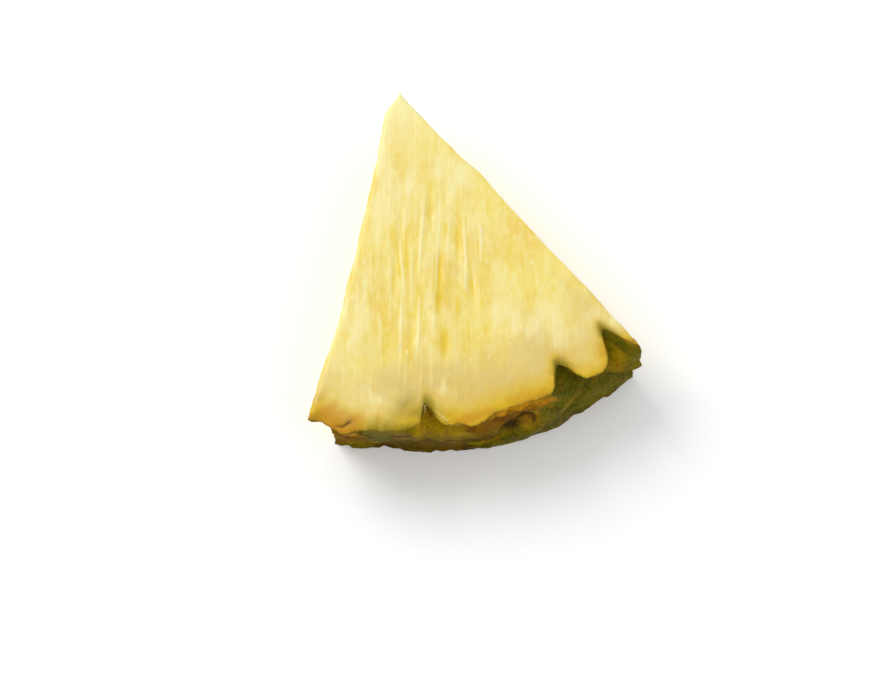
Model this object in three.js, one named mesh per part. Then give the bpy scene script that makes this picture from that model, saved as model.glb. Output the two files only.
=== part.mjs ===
// A wedge of fresh pineapple, one sixth of a round slice, with its rind on.
// It lies on its back cut. Z is up, the point is towards +Y and the rind towards -Y.
// All sizes are in millimetres.

import * as THREE from 'three';
import { mergeVertices } from 'three/addons/utils/BufferGeometryUtils.js';

// Driving dimensions of the wedge
const RADIUS = 60;                  // from the middle of the fruit to its rind
const THICKNESS = 17;               // between the two flat cuts
const HALF_ANGLE = radians(28.1);   // between the middle line and the right cut
const TIP_RADIUS = 0.8;             // how blunt the point is

// The left cut starts steeper at the point, and flares out again at the rind
const TIP_CHAMFER_ANGLE = radians(18.7);
const TIP_CHAMFER_WIDTH = 1.9;
const TIP_CHAMFER_REACH = 19;
const LIP_FLARE_ANGLE = radians(1);
const LEFT_UNDERCUT = 4.4;          // how far the left cut leans in at the back
const RIGHT_UNDERCUT = 0.8;
const UNDERCUT_FROM = 15;           // the radius where a cut starts to lean in

// The eyes of the rind stand in staggered rows round the fruit
const EYE_PITCH = 12.7;             // along the rind, from an eye to the next row's eye
const ROW_PITCH = 11.75;            // from a row of eyes to the row above it
const FIRST_EYE = -4.4;             // along the rind from the middle line, in the row that shows at the face
const FIRST_ROW = 12;               // height of the row that the wedge cuts near its middle
const EYE_HALF_WIDTH = 12.5;
const EYE_HALF_HEIGHT = 11.5;
const DIAMOND = 1.3;                // the power that turns an ellipse into a soft diamond
const EYE_SWELL = 0.7;              // how far an eye bulges at its middle

// The crevices between the eyes
const CREVICE_DEPTH = 1.1;
const CREVICE_WIDTH = 1.9;
const PITS = [
  { along: -9.8, height: 17, depth: 4.1, reach: 4.5 },
  { along: 15.9, height: 17, depth: 3.4, reach: 4.5 },
  { along: 25.9, height: 17, depth: 5.6, reach: 4.4 },
  { along: 1.5, height: 17, depth: -0.9, reach: 4 },
  { along: -23.9, height: 17, depth: -1, reach: 4 },
  { along: 3, height: 5, depth: 1.6, reach: 3.5 },
  { along: -16, height: 3, depth: 1.4, reach: 3.5 },
];

// Stretches of the rind that stand out or lie back, all the way round an eye
const SWELLINGS = [
  { along: -23.8, height: 17, out: 1.6, width: 2.6, tall: 4 },
  { along: -2.4, height: 17, out: 0.9, width: 3, tall: 5 },
  { along: 7, height: 17, out: -1.1, width: 6.5, tall: 8 },
  { along: 9, height: 2, out: 1.2, width: 8, tall: 7 },
  { along: 30, height: 14, out: 0.8, width: 4.5, tall: 10 },
];
const LEAN_LEFT = 2.6;              // how far the back edge lies in, at the left corner
const LEAN_RIGHT = 0.1;

// The bract covers the lower half of each eye, and a hollow lies above its free edge
const BRACT_RISE = 0.9;
const BRACT_EDGE = -3.4;            // height of the free edge, from the middle of the eye
const BRACT_EDGE_RISE = 6;          // how much higher the edge ends at the sides
const BRACT_STEP = 1.5;             // height over which the bract thins out
const HOLLOW_DEPTH = 1.5;
const HOLLOW_ABOVE = 1.8;           // middle of the hollow, above the free edge
const HOLLOW_WIDTH = 3.2;
const HOLLOW_HEIGHT = 2;
const CRAG_HEIGHT = 0.25;

// The fibres stand a little proud of the front cut, in a bundle beside the core
const FIBRE_TURN = radians(-13.3);  // the way they run, from the middle line
const FIBRE_FAN = 0.16;             // how much they spread towards the rind
const FIBRE_SPACING = 2.9;
const FIBRE_HEIGHT = 0.34;
const FIBRE_SHARPNESS = 3;
const BUNDLE_ACROSS = 5;
const BUNDLE_ALONG = 32;
const BUNDLE_HALF_WIDTH = 13;
const BUNDLE_HALF_LENGTH = 19;

const FACE_WAVE = 0.22;             // slow unevenness of the front cut
const EDGE_ROUNDING = 0.35;
const EDGE_REACH = 1.1;
const CUT_WAVE = 0.2;               // waviness of the two side cuts

// Cells of the grid that is bent into the wedge
const CELLS_ACROSS = 80;
const CELLS_ALONG = 22;
const CELLS_THROUGH = 16;
const FEWEST_ACROSS = 10;
const WIDEST_AT_TIP = 0.35;         // a row this far along has all its cells across
const CROWDING = 1.35;              // how much the rows close up towards the rind

const FLESH = { color: 0xf0dc80, roughness: 0.35, metalness: 0 };

function radians(degrees) {
  return THREE.MathUtils.degToRad(degrees);
}

function bell(distance, reach) {
  return Math.exp(-((distance / reach) ** 2));
}

// The eye that holds a place on the rind, and how near the next eye is
function nearestEye(along, height) {
  let first = { distance: Infinity };
  let second = Infinity;
  for (let row = -2; row <= 2; row += 1) {
    for (let step = -4; step <= 4; step += 1) {
      if ((step + row) % 2 !== 0) continue;
      const across = along - (FIRST_EYE + EYE_PITCH * (step - 1));
      const up = height - (FIRST_ROW + ROW_PITCH * row);
      const distance = (
        Math.abs(across / EYE_HALF_WIDTH) ** DIAMOND + Math.abs(up / EYE_HALF_HEIGHT) ** DIAMOND
      ) ** (1 / DIAMOND);
      if (distance < first.distance) {
        second = first.distance;
        first = { distance, across, up };
      } else {
        second = Math.min(second, distance);
      }
    }
  }
  const toEdge = (second - first.distance) * EYE_HALF_WIDTH / 2;
  return { ...first, toEdge };
}

function creviceDepth(along, height) {
  let depth = CREVICE_DEPTH;
  for (const pit of PITS) {
    depth += pit.depth * bell(Math.hypot(along - pit.along, height - pit.height), pit.reach);
  }
  return Math.max(depth, 0);
}

function bractRelief({ across, up }) {
  const edge = BRACT_EDGE + BRACT_EDGE_RISE * (across / EYE_HALF_WIDTH) ** 2 + 0.5 * Math.sin(1.3 * across);
  const bract = 1 - THREE.MathUtils.smoothstep(up, edge, edge + BRACT_STEP);
  const aboveEdge = up - edge - HOLLOW_ABOVE;
  const hollow = bell(Math.hypot(across / HOLLOW_WIDTH, aboveEdge / HOLLOW_HEIGHT), 1);
  const crags = CRAG_HEIGHT * Math.sin(1.7 * across + 2.1 * up) * Math.cos(1.1 * across - 1.9 * up);
  return BRACT_RISE * bract - HOLLOW_DEPTH * hollow * (1 - bract) + crags * (1 - bract);
}

// Distance from the middle of the fruit to the rind
function rindRadius(along, height) {
  const eye = nearestEye(along, height);
  const lean = THREE.MathUtils.mapLinear(along, -RADIUS / 2, RADIUS / 2, LEAN_LEFT, LEAN_RIGHT);
  let radius = RADIUS - lean * (1 - height / THICKNESS);
  radius += EYE_SWELL * (1 - Math.min(eye.distance, 1) ** 2) - EYE_SWELL / 2;
  for (const place of SWELLINGS) {
    radius += place.out * bell(along - place.along, place.width) * bell(height - place.height, place.tall);
  }
  const crevice = bell(eye.toEdge, CREVICE_WIDTH);
  radius += bractRelief(eye) * (1 - crevice) * backFromFace(height);
  return radius - creviceDepth(along, height) * crevice;
}

// The relief fades near the front cut, which sliced through the bracts
function backFromFace(height) {
  return 1 - THREE.MathUtils.smoothstep(height, THICKNESS - 3, THICKNESS);
}

function undercut(radius, depth) {
  return depth * THREE.MathUtils.smoothstep(radius, UNDERCUT_FROM, RADIUS);
}

function leftAngle(radius, through) {
  const chamfer = TIP_CHAMFER_WIDTH * Math.exp(-radius / TIP_CHAMFER_REACH) / radius;
  const flare = LIP_FLARE_ANGLE * THREE.MathUtils.smoothstep(radius, 0.6 * RADIUS, RADIUS);
  const wave = CUT_WAVE * Math.sin(radius / 4.1 + 1.3 * through) / Math.max(radius, 6);
  const straight = -HALF_ANGLE + radians(0.8) - Math.min(chamfer, TIP_CHAMFER_ANGLE) - flare;
  return straight + wave + (1 - through) * undercut(radius, LEFT_UNDERCUT) / radius;
}

function rightAngle(radius, through) {
  const wave = CUT_WAVE * (Math.sin(radius / 2.6) + Math.sin(radius / 1.3)) / Math.max(radius, 6);
  return HALF_ANGLE + wave - (1 - through) * undercut(radius, RIGHT_UNDERCUT) / radius;
}

// Height of the front cut over the back cut, at a place on the face
function faceHeight(x, y, toOutline) {
  const down = -y;
  const across = x * Math.cos(FIBRE_TURN) - down * Math.sin(FIBRE_TURN) - BUNDLE_ACROSS;
  const along = down * Math.cos(FIBRE_TURN) + x * Math.sin(FIBRE_TURN) - BUNDLE_ALONG;
  const fanned = across / (1 + FIBRE_FAN * along / BUNDLE_HALF_LENGTH);
  const strand = 0.5 + 0.5 * Math.cos(2 * Math.PI * fanned / FIBRE_SPACING + Math.sin(0.15 * along));
  const bundle = bell(fanned, BUNDLE_HALF_WIDTH) * bell(along, BUNDLE_HALF_LENGTH);
  const fibres = FIBRE_HEIGHT * strand ** FIBRE_SHARPNESS * bundle;
  const wave = FACE_WAVE * Math.sin(0.13 * x + 1) * Math.cos(0.11 * y);
  const rounding = EDGE_ROUNDING * bell(toOutline, EDGE_REACH);
  return THICKNESS + fibres + wave - rounding;
}

// The place in the wedge of a point of the unit box: across, from point to rind, and through
function place(acrossBox, alongBox, through) {
  const share = Math.min(1, alongBox / WIDEST_AT_TIP);
  const halvings = Math.ceil(Math.log2(1 / Math.max(share, FEWEST_ACROSS / CELLS_ACROSS)));
  const cells = CELLS_ACROSS / 2 ** halvings;
  const across = Math.round(acrossBox * cells) / cells;

  const rimLeft = leftAngle(RADIUS, through);
  const rimRight = rightAngle(RADIUS, through);
  const rim = THREE.MathUtils.lerp(rimLeft, rimRight, across);
  const rind = rindRadius(rim * RADIUS, through * THICKNESS);
  const outward = 1 - (1 - alongBox) ** CROWDING;
  const radius = THREE.MathUtils.lerp(TIP_RADIUS, rind, outward);

  const left = leftAngle(radius, through);
  const right = rightAngle(radius, through);
  const angle = THREE.MathUtils.lerp(left, right, across);
  const x = radius * Math.sin(angle);
  const y = -radius * Math.cos(angle);
  const toSides = Math.min(across, 1 - across) * radius * (right - left);
  const height = faceHeight(x, y, Math.min(toSides, rind - radius));
  return new THREE.Vector3(x, y, through * height);
}

// Each cell of the grid is split along its shorter diagonal, so that creases run clean
function splitShortWays(geometry) {
  const points = geometry.attributes.position;
  const corners = geometry.index.array;
  const gap = (from, to) => Math.hypot(
    points.getX(from) - points.getX(to),
    points.getY(from) - points.getY(to),
    points.getZ(from) - points.getZ(to),
  );
  for (let at = 0; at < corners.length; at += 6) {
    const [a, b, d, , c] = corners.slice(at, at + 6);
    if (gap(a, c) < gap(b, d)) corners.set([a, b, c, a, c, d], at);
  }
  return geometry;
}

// Triangles that lost a side, where neighbouring columns run together, are left out
function dropFlatTriangles(geometry) {
  const corners = geometry.index.array;
  const kept = [];
  for (let at = 0; at < corners.length; at += 3) {
    const [a, b, c] = corners.slice(at, at + 3);
    if (a !== b && b !== c && c !== a) kept.push(a, b, c);
  }
  geometry.setIndex(kept);
  return geometry;
}

function chunkGeometry() {
  const box = new THREE.BoxGeometry(1, 1, 1, CELLS_ACROSS, CELLS_ALONG, CELLS_THROUGH);
  box.deleteAttribute('normal');
  box.deleteAttribute('uv');
  const points = box.attributes.position;
  for (let i = 0; i < points.count; i += 1) {
    const along = 0.5 - points.getY(i);
    const spot = place(points.getX(i) + 0.5, along, points.getZ(i) + 0.5);
    points.setXYZ(i, spot.x, spot.y, spot.z);
  }
  return dropFlatTriangles(mergeVertices(splitShortWays(box)));
}

// The origin goes to the middle of the box around the wedge, on the surface that it lies on
function centred(geometry) {
  geometry.computeBoundingBox();
  const { min, max } = geometry.boundingBox;
  geometry.translate(-(min.x + max.x) / 2, -(min.y + max.y) / 2, -min.z);
  return geometry;
}

const chunk = new THREE.Mesh(centred(chunkGeometry()), new THREE.MeshStandardMaterial(FLESH));
chunk.name = 'pineapple_chunk';

const group = new THREE.Group();
group.add(chunk);
group.name = 'pineapple_wedge';

export default group;
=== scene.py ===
# %% [markdown]
# # A wedge of fresh pineapple
#
# The real thing is a sixth of a round slice: soft yellow flesh that runs to a point at the
# middle of the fruit, and a tough rind along its outer edge. This script dresses the plain
# solid with everything that shows up close: fibres, moist flesh, the bands under the rind,
# the scales of the rind itself and the small curls that the knife left in its notch.
#
# The frame is loaded first, because every piece has to stay inside the solid's box.

import math

import bpy
import numpy as np
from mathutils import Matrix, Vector, noise


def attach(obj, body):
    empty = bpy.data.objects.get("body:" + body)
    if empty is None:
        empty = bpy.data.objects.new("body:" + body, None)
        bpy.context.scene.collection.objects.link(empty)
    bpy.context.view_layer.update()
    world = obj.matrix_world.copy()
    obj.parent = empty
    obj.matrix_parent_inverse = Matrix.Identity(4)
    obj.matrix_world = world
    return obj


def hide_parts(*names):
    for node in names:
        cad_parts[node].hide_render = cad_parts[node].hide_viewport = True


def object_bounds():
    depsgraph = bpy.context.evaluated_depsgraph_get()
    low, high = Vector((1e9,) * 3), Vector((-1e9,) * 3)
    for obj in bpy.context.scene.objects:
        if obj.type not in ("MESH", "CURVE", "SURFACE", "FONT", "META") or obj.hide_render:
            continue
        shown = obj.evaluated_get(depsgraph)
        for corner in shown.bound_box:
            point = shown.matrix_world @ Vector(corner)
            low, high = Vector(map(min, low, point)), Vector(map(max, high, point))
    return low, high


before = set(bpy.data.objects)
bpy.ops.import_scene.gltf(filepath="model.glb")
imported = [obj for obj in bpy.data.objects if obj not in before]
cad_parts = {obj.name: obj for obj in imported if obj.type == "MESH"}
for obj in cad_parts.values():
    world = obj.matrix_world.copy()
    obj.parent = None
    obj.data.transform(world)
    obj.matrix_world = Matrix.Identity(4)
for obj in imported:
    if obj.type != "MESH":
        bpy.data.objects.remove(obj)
solid_low, solid_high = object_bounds()
NODE = "pineapple_chunk"
MM = 0.001
print("solid, mm:", [round(side / MM, 1) for side in solid_high - solid_low])

# %% [markdown]
# ## Two small helpers for modelling
#
# Operators act on everything that is selected, so each new piece starts with nothing
# selected. Meshes are shaped here in millimetres, because that is how a fruit is measured,
# and MM turns them to metres at the end.

# %% Selecting nothing, and reading and writing a mesh's points


def select_only(*pieces):
    if bpy.context.object and bpy.context.object.mode != "OBJECT":
        bpy.ops.object.mode_set(mode="OBJECT")
    bpy.ops.object.select_all(action="DESELECT")
    for piece in pieces:
        piece.select_set(True)
        bpy.context.view_layer.objects.active = piece


def read_points(piece):
    flat = np.zeros(len(piece.data.vertices) * 3)
    piece.data.vertices.foreach_get("co", flat)
    return flat.reshape(-1, 3)


def write_points(piece, points):
    piece.data.vertices.foreach_set("co", np.ascontiguousarray(points, dtype=np.float32).ravel())
    piece.data.update()


def write_attribute(piece, name, values, domain="POINT"):
    attribute = piece.data.attributes.new(name, "FLOAT", domain)
    attribute.data.foreach_set("value", np.asarray(values, dtype=np.float32))


# %% [markdown]
# ## The outline of the wedge
#
# The wedge is drawn in polar measures: how far a point is from the middle of the fruit, and
# at which angle. The two side cuts are nearly straight lines from the point. The left one
# starts steeper, flares out at the rind, and leans in towards the back. The right one is
# shaved a little near the point.

# %% Sizes of the wedge, and its two side cuts
RADIUS = 60
THICKNESS = 17
HALF_ANGLE = math.radians(28.1)
TIP_RADIUS = 0.6
TIP_CHAMFER_ANGLE = math.radians(18.7)
TIP_CHAMFER_WIDTH = 2.2
TIP_CHAMFER_REACH = 19
TIP_SHAVE = 0.75
TIP_SHAVE_ANGLE = math.radians(62)
TIP_SHAVE_FROM = 22
TIP_SHAVE_FULL = 8
LEFT_TURN = math.radians(0.8)
LIP_FLARE_ANGLE = math.radians(1)
LIP_FLARE_FROM = 36
LEFT_UNDERCUT = 4.1
RIGHT_UNDERCUT = 0.8
UNDERCUT_FROM = 15
LIP_FROM = 50
LIP_THICKNESS_SHARE = 0.74


def smoothstep(low, high, value):
    share = np.clip((value - low) / (high - low), 0, 1)
    return share * share * (3 - 2 * share)


def bell(distance, reach):
    return np.exp(-((distance / reach) ** 2))


def mix(low, high, share):
    return low + (high - low) * share


def undercut(radius, depth):
    return depth * smoothstep(UNDERCUT_FROM, RADIUS, radius)


def left_angle(radius, through):
    chamfer = TIP_CHAMFER_WIDTH * np.exp(-radius / TIP_CHAMFER_REACH) / radius
    chamfer = np.minimum(chamfer, TIP_CHAMFER_ANGLE)
    flare = LIP_FLARE_ANGLE * smoothstep(LIP_FLARE_FROM, RADIUS, radius)
    straight = -HALF_ANGLE + LEFT_TURN - chamfer - flare
    at_lip = smoothstep(LIP_FROM, RADIUS - 1, radius)
    share = mix(1 - through, 1 - smoothstep(LIP_THICKNESS_SHARE, 1, through), at_lip)
    return straight + share * undercut(radius, LEFT_UNDERCUT) / radius


def right_angle(radius, through):
    shave = TIP_SHAVE * (1 - smoothstep(TIP_SHAVE_FULL, TIP_SHAVE_FROM, radius))
    shaved = np.minimum(shave / radius, TIP_SHAVE_ANGLE)
    return HALF_ANGLE - shaved - (1 - through) * undercut(radius, RIGHT_UNDERCUT) / radius


print("arc of the rind, mm:", round(RADIUS * float(right_angle(RADIUS, 1) - left_angle(RADIUS, 1)), 1))

# %% [markdown]
# ## The eyes of the rind
#
# A pineapple's rind is made of eyes, set in staggered rows. Each eye is a soft diamond with a
# crevice round it. Where this slice was cut through, three crevices are deep and open as
# notches in the edge of the cut face. A bract, a tough little leaf, covers the lower part of
# each eye. Above its free edge the eye is brown, craggy and dry, round a small hollow.
#
# All this is one formula: the distance from the middle of the fruit to the rind, at any place
# along the rind and at any height. The same formula shapes the rind and tells every point of
# the flesh how deep under the rind it lies, which its colour needs later.

# %% Sizes of the eyes and of what is cut or swollen
EYE_PITCH = 12.7
ROW_PITCH = 11.75
FIRST_EYE = -4.4
FIRST_ROW = 12
EYE_HALF_WIDTH = 12.5
EYE_HALF_HEIGHT = 11.5
DIAMOND = 1.3
EYE_SWELL = 0.7
CREVICE_DEPTH = 1.1
CREVICE_WIDTH = 1.9
PITS = [
    # along, height, depth, reach
    (-9.8, 17, 3.2, 4.5),
    (15.9, 17, 3.4, 4.5),
    (25.9, 17, 4.8, 4.4),
    (1.5, 17, -0.9, 4),
    (-23.9, 17, -1, 4),
    (3, 5, 1.6, 3.5),
    (-16, 3, 1.4, 3.5),
]
SWELLINGS = [
    # along, height, how far out, width, how tall
    (-23.8, 17, 1.6, 2.6, 4),
    (-1, 17, 1, 2.4, 5),
    (-4.4, 17, -0.5, 1.6, 5),
    (7, 17, -1.1, 6.5, 8),
    (9, 2, 0.8, 8, 7),
    (30, 14, 0.8, 4.5, 10),
    (-11.3, 17, 1.2, 1.3, 5),
    (-10.7, 17, 1.4, 0.6, 1.8),
]
RAGGED = [
    # how far out and in, radians per millimetre, start
    (0.08, 2.1, 0),
    (0.048, 4.7, 1),
    (0.048, 8.9, 2),
]
RAGGED_BELOW = 5
LEAN_LEFT = 2.2
LEAN_RIGHT = 0.1
BRACT_RISE = 0.9
BRACT_EDGE = -3.4
BRACT_EDGE_RISE = 6
BRACT_EDGE_WAVE = 0.5
BRACT_STEP = 1.5
BRACT_FOOT = 5
BRACT_BELOW_FACE = 3
CALM_UNTIL = 15
CALM_BELOW = 11
CALM_SOFTNESS = 2
SCALE_RISE = 0.7
SCALE_EDGE = [
    # along, height
    (-3, 1.5),
    (3.5, 4),
    (6.5, 4.9),
    (9, 7),
    (10.2, 10.6),
    (11.6, 13.4),
    (13, 18),
]
SCALE_SOFTNESS = 1.6
UNDERSIDE_DEPTH = 0.3
UNDERSIDE_SOFTNESS = 3
UNDERSIDE_EDGE = [
    # along, height
    (-20.5, -2),
    (-16.4, 10),
    (-14.5, 12.4),
    (-11, 12.6),
    (-8, 9),
    (-5.7, 5.8),
    (-1.9, 3.8),
    (3.5, -2),
]
WANDER = 0.7
FINE_WANDER = 0.3
print("deepest crevice, mm:", CREVICE_DEPTH + max(pit[2] for pit in PITS))

# %% The nearest eye, and its crevice


def nearest_eye(along, height):
    """Place inside the nearest eye, how far out in it that is, and how near the next eye is."""
    first = np.full(along.shape, np.inf)
    second = first.copy()
    across = np.zeros(along.shape)
    up = np.zeros(along.shape)
    for row in range(-2, 3):
        for step in range(-4 + row % 2, 5, 2):
            from_left = along - (FIRST_EYE + EYE_PITCH * (step - 1))
            from_below = height - (FIRST_ROW + ROW_PITCH * row)
            sides = np.abs(from_left / EYE_HALF_WIDTH) ** DIAMOND
            ends = np.abs(from_below / EYE_HALF_HEIGHT) ** DIAMOND
            outward = (sides + ends) ** (1 / DIAMOND)
            nearer = outward < first
            second = np.where(nearer, first, np.minimum(second, outward))
            across = np.where(nearer, from_left, across)
            up = np.where(nearer, from_below, up)
            first = np.where(nearer, outward, first)
    return across, up, first, (second - first) * EYE_HALF_WIDTH / 2


def crevice_depth(along, height):
    depth = np.full(along.shape, CREVICE_DEPTH)
    for pit_along, pit_height, pit_depth, reach in PITS:
        depth += pit_depth * bell(np.hypot(along - pit_along, height - pit_height), reach)
    return np.maximum(depth, 0)


# %% Bracts, and lines drawn on the rind


def bract_mask(across, up):
    edge = BRACT_EDGE + BRACT_EDGE_RISE * (across / EYE_HALF_WIDTH) ** 2
    edge = edge + BRACT_EDGE_WAVE * np.sin(1.3 * across)
    return 1 - smoothstep(edge, edge + BRACT_STEP, up)


def wander(along, height):
    """The same place, pushed a little to and fro, so that drawn lines come out as grown ones."""
    aside = WANDER * np.sin(0.8 * height + 0.5 * along) + FINE_WANDER * np.sin(2.3 * height - 1.3 * along)
    upward = WANDER * np.sin(0.7 * along + 0.4 * height) + FINE_WANDER * np.sin(2.1 * along + 1.7 * height)
    return along + aside, height + upward


def above_line(along, height, line):
    """How far a place on the rind is above a line drawn on it."""
    along, height = wander(along, height)
    return height - np.interp(along, [place[0] for place in line], [place[1] for place in line])


def below_line(along, height, line, softness):
    """1 below a line drawn on the rind, 0 above it."""
    return smoothstep(0, softness, -above_line(along, height, line))


# %% From the middle of the fruit to the rind


def calm_mask(along, height):
    """1 on the smooth lower left of the rind, where the eyes hardly show."""
    on_left = 1 - smoothstep(CALM_UNTIL - CALM_SOFTNESS, CALM_UNTIL + CALM_SOFTNESS, along)
    return on_left * (1 - smoothstep(CALM_BELOW - CALM_SOFTNESS, CALM_BELOW + CALM_SOFTNESS, height))


def rind_radius(along, height):
    across, up, from_middle, to_edge = nearest_eye(along, height)
    calm = calm_mask(along, height)
    lean = mix(LEAN_LEFT, LEAN_RIGHT, (along + RADIUS / 2) / RADIUS)
    radius = RADIUS - lean * (1 - height / THICKNESS)
    radius += EYE_SWELL * (0.5 - np.minimum(from_middle, 1) ** 2)
    at_face = smoothstep(THICKNESS - RAGGED_BELOW, THICKNESS, height)
    for reach, waves, start in RAGGED:
        radius += reach * np.sin(waves * along + start) * at_face
    for place_along, place_height, out, width, tall in SWELLINGS:
        radius += out * bell(along - place_along, width) * bell(height - place_height, tall)
    crevice = bell(to_edge, CREVICE_WIDTH) * (1 - calm)
    below_face = 1 - smoothstep(THICKNESS - BRACT_BELOW_FACE, THICKNESS, height)
    behind_face = smoothstep(0, BRACT_FOOT, height) * below_face
    radius += BRACT_RISE * bract_mask(across, up) * (1 - crevice) * behind_face * (1 - calm)
    radius += SCALE_RISE * below_line(along, height, SCALE_EDGE, SCALE_SOFTNESS) * calm
    radius -= UNDERSIDE_DEPTH * below_line(along, height, UNDERSIDE_EDGE, UNDERSIDE_SOFTNESS) * calm
    return radius - crevice_depth(along, height) * crevice


big_notch = np.array(PITS[0], dtype=float)
print("rind at the big notch, mm:", round(float(rind_radius(big_notch[:1], big_notch[1:2])[0]), 1))

# %% [markdown]
# ## The body of the wedge
#
# The body starts as a box of six grids, one for each cut and one for the rind, joined into
# one mesh and merged along their borders. A grid primitive is the quick way to an even net of
# fine faces. Then every point moves to its place in the wedge. Near the point of the wedge
# the columns run together in pairs, and a second merge closes them, so that no face gets too
# thin.

# %% A box of six fine grids
CELLS_ACROSS = 192
CELLS_ALONG = 144
CELLS_THROUGH = 46
FEWEST_ACROSS = 12
WIDEST_AT_TIP = 0.35
CROWDING = 1.35
QUARTER = math.pi / 2
SIDES = [
    # where the side lies, how it is turned, and its cells both ways
    ((0, 0, 0.5), (0, 0, 0), CELLS_ACROSS, CELLS_ALONG),
    ((0, 0, -0.5), (2 * QUARTER, 0, 0), CELLS_ACROSS, CELLS_ALONG),
    ((0.5, 0, 0), (0, QUARTER, 0), CELLS_THROUGH, CELLS_ALONG),
    ((-0.5, 0, 0), (0, -QUARTER, 0), CELLS_THROUGH, CELLS_ALONG),
    ((0, 0.5, 0), (-QUARTER, 0, 0), CELLS_ACROSS, CELLS_THROUGH),
    ((0, -0.5, 0), (QUARTER, 0, 0), CELLS_ACROSS, CELLS_THROUGH),
]


def gridded_box(name):
    grids = []
    for place, turn, one_way, other_way in SIDES:
        select_only()
        bpy.ops.mesh.primitive_grid_add(
            x_subdivisions=one_way, y_subdivisions=other_way, size=1, location=place, rotation=turn
        )
        bpy.ops.object.transform_apply(location=True, rotation=True, scale=True)
        grids.append(bpy.context.object)
    select_only(*grids)
    bpy.ops.object.join()
    box = bpy.context.object
    box.name = name
    merge_points(box)
    return box


def merge_points(piece, reach=1e-6, turn_outwards=False):
    select_only(piece)
    bpy.ops.object.mode_set(mode="EDIT")
    bpy.ops.mesh.select_all(action="SELECT")
    bpy.ops.mesh.remove_doubles(threshold=reach)
    if turn_outwards:
        bpy.ops.mesh.normals_make_consistent(inside=False)
    bpy.ops.object.mode_set(mode="OBJECT")


body = gridded_box("pineapple_wedge")
print("grid faces:", len(body.data.polygons), "points:", len(body.data.vertices))

# %% [markdown]
# ## Fibres on the cut face
#
# The knife pulled at the bundle of fibres beside the core, so pale strands stand a little
# proud of the face, with moist hollows between them. Each strand is a long low ridge that
# fades at both ends. The longest ones are listed one by one, as they show, and many finer ones
# are drawn by a seeded generator, so that they are the same in every run.
#
# Places on the face are given from the point of the wedge: how far to the right, and how far
# down, as it is seen from the camera's side, which is turned a little from the middle line.

# %% Where the strands run
VIEW_TURN = math.radians(-13.3)
STRANDS = [
    # right, down, length, lean to the right at the end, width, height
    (-0.6, 22, 14.5, 1, 0.34, 0.26),
    (3.9, 18, 15.5, -1.1, 0.36, 0.34),
    (6.3, 22, 14.5, -0.5, 0.30, 0.26),
    (8, 19, 12, -0.2, 0.32, 0.20),
    (10.4, 21, 15, 0.5, 0.34, 0.28),
    (13.3, 24, 6.5, 0.1, 0.36, 0.26),
    (-3.7, 39, 10, 0.4, 0.28, 0.24),
    (-1.9, 30, 12, 0.1, 0.26, 0.18),
    (0.1, 36, 12, -0.3, 0.32, 0.28),
    (3.1, 36, 11.5, -0.5, 0.36, 0.32),
    (5.3, 37, 7.5, 0.1, 0.70, 0.22),
    (1.6, 27, 13, 0.1, 0.30, 0.20),
    (-5.2, 28, 9, 0.2, 0.30, 0.16),
    (12, 29, 7, 0.3, 0.28, 0.20),
]
STRAND_HEIGHT = 0.5
STRAND_WIDTH = 0.7
STRAND_WOBBLE = 0.05
STRAND_REACH = 3
FINE_STRANDS = 120
FINE_SEED = 7
BUNDLE_RIGHT = 5.0
BUNDLE_DOWN = 28.0
BUNDLE_SPREAD = 6.5
BUNDLE_REACH = 10.5
FAN = 0.010
HOLLOWS = [
    # right, down, half width, half length, depth
    (4.6, 20.8, 0.6, 3, 0.28),
    (6.3, 32.5, 0.55, 5, 0.30),
    (11.9, 34.7, 0.6, 3, 0.28),
    (7.1, 45, 0.8, 3, 0.28),
    (-0.3, 26, 0.5, 4, 0.22),
    (-1.2, 33, 0.5, 4, 0.18),
    (1.5, 43, 0.5, 4.5, 0.22),
    (9.4, 27, 0.5, 4.5, 0.22),
]


def seen_from_camera(x, y):
    """Millimetres to the right of the wedge's point and down from it, as the camera sees the face."""
    right = x * math.cos(VIEW_TURN) + y * math.sin(VIEW_TURN)
    down = x * math.sin(VIEW_TURN) - y * math.cos(VIEW_TURN)
    return right, down


def every_strand():
    draw = np.random.default_rng(FINE_SEED)
    strands = list(STRANDS)
    for _ in range(FINE_STRANDS):
        right = BUNDLE_RIGHT + BUNDLE_SPREAD * draw.normal()
        down = BUNDLE_DOWN + BUNDLE_REACH * draw.normal()
        length = draw.uniform(4, 12)
        lean = FAN * (right - BUNDLE_RIGHT) * length + 0.2 * draw.normal()
        strands.append((right, down, length, lean, draw.uniform(0.16, 0.3), draw.uniform(0.03, 0.12)))
    return strands


def strand_relief(x, y):
    right, down = seen_from_camera(x, y)
    ridges = np.zeros(x.shape)
    for at_right, at_down, length, lean, width, height in every_strand():
        share = (down - at_down) / length
        near = np.flatnonzero((share > 0) & (share < 1) & (np.abs(right - at_right) < STRAND_REACH))
        s = share[near]
        middle = at_right + lean * s + STRAND_WOBBLE * np.sin(7 * s + 7 * at_right)
        fade = np.sin(math.pi * s) ** 0.6
        ridge = STRAND_HEIGHT * height * fade * bell(right[near] - middle, STRAND_WIDTH * width)
        ridges[near] = np.maximum(ridges[near], ridge)
    return ridges


def hollow_relief(x, y):
    right, down = seen_from_camera(x, y)
    hollows = np.zeros(x.shape)
    for at_right, at_down, half_width, half_length, depth in HOLLOWS:
        hollows += depth * bell(right - at_right, half_width) * bell(down - at_down, half_length)
    return hollows


# %% A browned crack beside the left lip
CRACK = [
    # right, down
    (-11.8, 59.3),
    (-10.3, 59.4),
    (-9.3, 59.1),
    (-8.5, 58.5),
]
CRACK_HALF_WIDTH = 0.24
CRACK_DEPTH = 0.35
CRACK_WOBBLE = 0.08


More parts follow.
